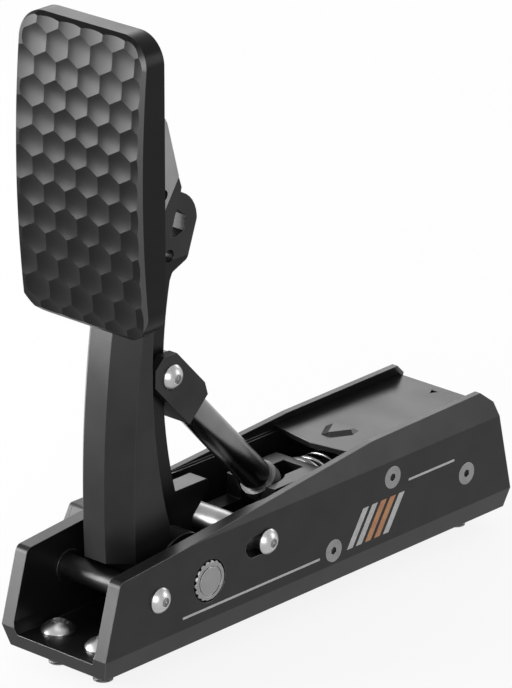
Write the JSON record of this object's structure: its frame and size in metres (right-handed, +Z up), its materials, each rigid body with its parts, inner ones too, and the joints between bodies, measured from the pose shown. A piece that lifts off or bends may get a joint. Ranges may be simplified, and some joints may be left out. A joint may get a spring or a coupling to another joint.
{
  "type": "sim racing pedal",
  "caption": "Single sim racing pedal module: dimpled pedal plate on a bowed arm, pushrod, sliding fork and return spring in a channel base with rig bolts.",
  "frame": {"origin": "underside of the base, at the middle of the four rig bolts", "axes": "+X to the driver's right, +Y away from the driver along the base, +Z up"},
  "size_m": [0.0732, 0.2386, 0.262],
  "materials": {
    "black_anodised": "black anodised, bead blasted",
    "grey_anodised": "clear grey anodised",
    "stainless": "turned stainless steel",
    "bright_steel": "ground and nickel plated",
    "zinc_steel": "zinc plated",
    "black_steel": "black oxide",
    "bronze": "sintered bronze",
    "black_acetal": "machined acetal",
    "black_plastic": "moulded, fine texture",
    "circuit_board": "solder mask"
  },
  "bodies": {
    "base": {"base_channel": "black_anodised", "tie_bar": "black_anodised", "tie_bar_washers": "zinc_steel", "tie_bar_bolts": "stainless", "wall_bushes": "bronze", "slide_rail": "black_acetal", "spring_housing": "black_anodised", "guide_rod": "bright_steel", "guide_rod_screw": "stainless", "cover_plate": "black_anodised", "side_screws": "stainless", "rig_bolts": "stainless", "sensor_housing": "black_plastic", "sensor_lid": "black_plastic", "sensor_board": "circuit_board", "sensor_screws": "stainless", "signal_socket": "black_plastic", "return_spring": "bright_steel"},
    "arm": {"pedal_arm": "black_anodised", "pivot_axle": "bright_steel", "axle_spacers": "zinc_steel", "pivot_cap": "grey_anodised", "arm_set_screw": "black_steel", "sensor_magnet": "zinc_steel", "plate_bracket": "grey_anodised", "bracket_bolts": "stainless", "bracket_nuts": "stainless", "pedal_plate": "black_anodised", "plate_screws": "stainless"},
    "pushrod": {"clevis": "black_anodised", "clevis_bolt": "stainless", "clevis_nut": "stainless", "pushrod_tube": "black_anodised", "jam_nut": "black_steel", "rod_end": "zinc_steel"},
    "plunger": {"fork_block": "black_anodised", "fork_pin": "bright_steel", "pin_clips": "black_steel", "spring_seat": "bright_steel", "plunger_sleeve": "black_acetal"},
    "stop": {"stop_rod": "bright_steel", "stop_bolts": "stainless"}
  },
  "joints": [
    {"name": "pedal_press", "type": "hinge", "parent": "base", "child": "arm", "pos_m": [0, -0.0608, 0.0248], "axis": [-1, 0, 0], "range_deg": [0, 12], "stiffness_Nm_per_rad": 18.9, "springref_deg": -2.86},
    {"name": "pushrod_swing", "type": "hinge", "parent": "arm", "child": "pushrod", "pos_m": [0, -0.0608, 0.1043], "axis": [1, 0, 0], "range_deg": [0, 13.2]},
    {"name": "plunger_slide", "type": "slide", "parent": "base", "child": "plunger", "axis": [0, 1, 0], "range_m": [0, 0.0182], "deforming": ["return_spring"]},
    {"name": "stop_slide", "type": "slide", "parent": "base", "child": "stop", "axis": [0, 1, 0], "range_m": [-0.008, 0]}
  ],
  "couplings": [
    {"joint": "pushrod_swing", "follows": "pedal_press", "ratio": 1.096},
    {"joint": "plunger_slide", "follows": "pedal_press", "m_per_rad": 0.0864}
  ]
}
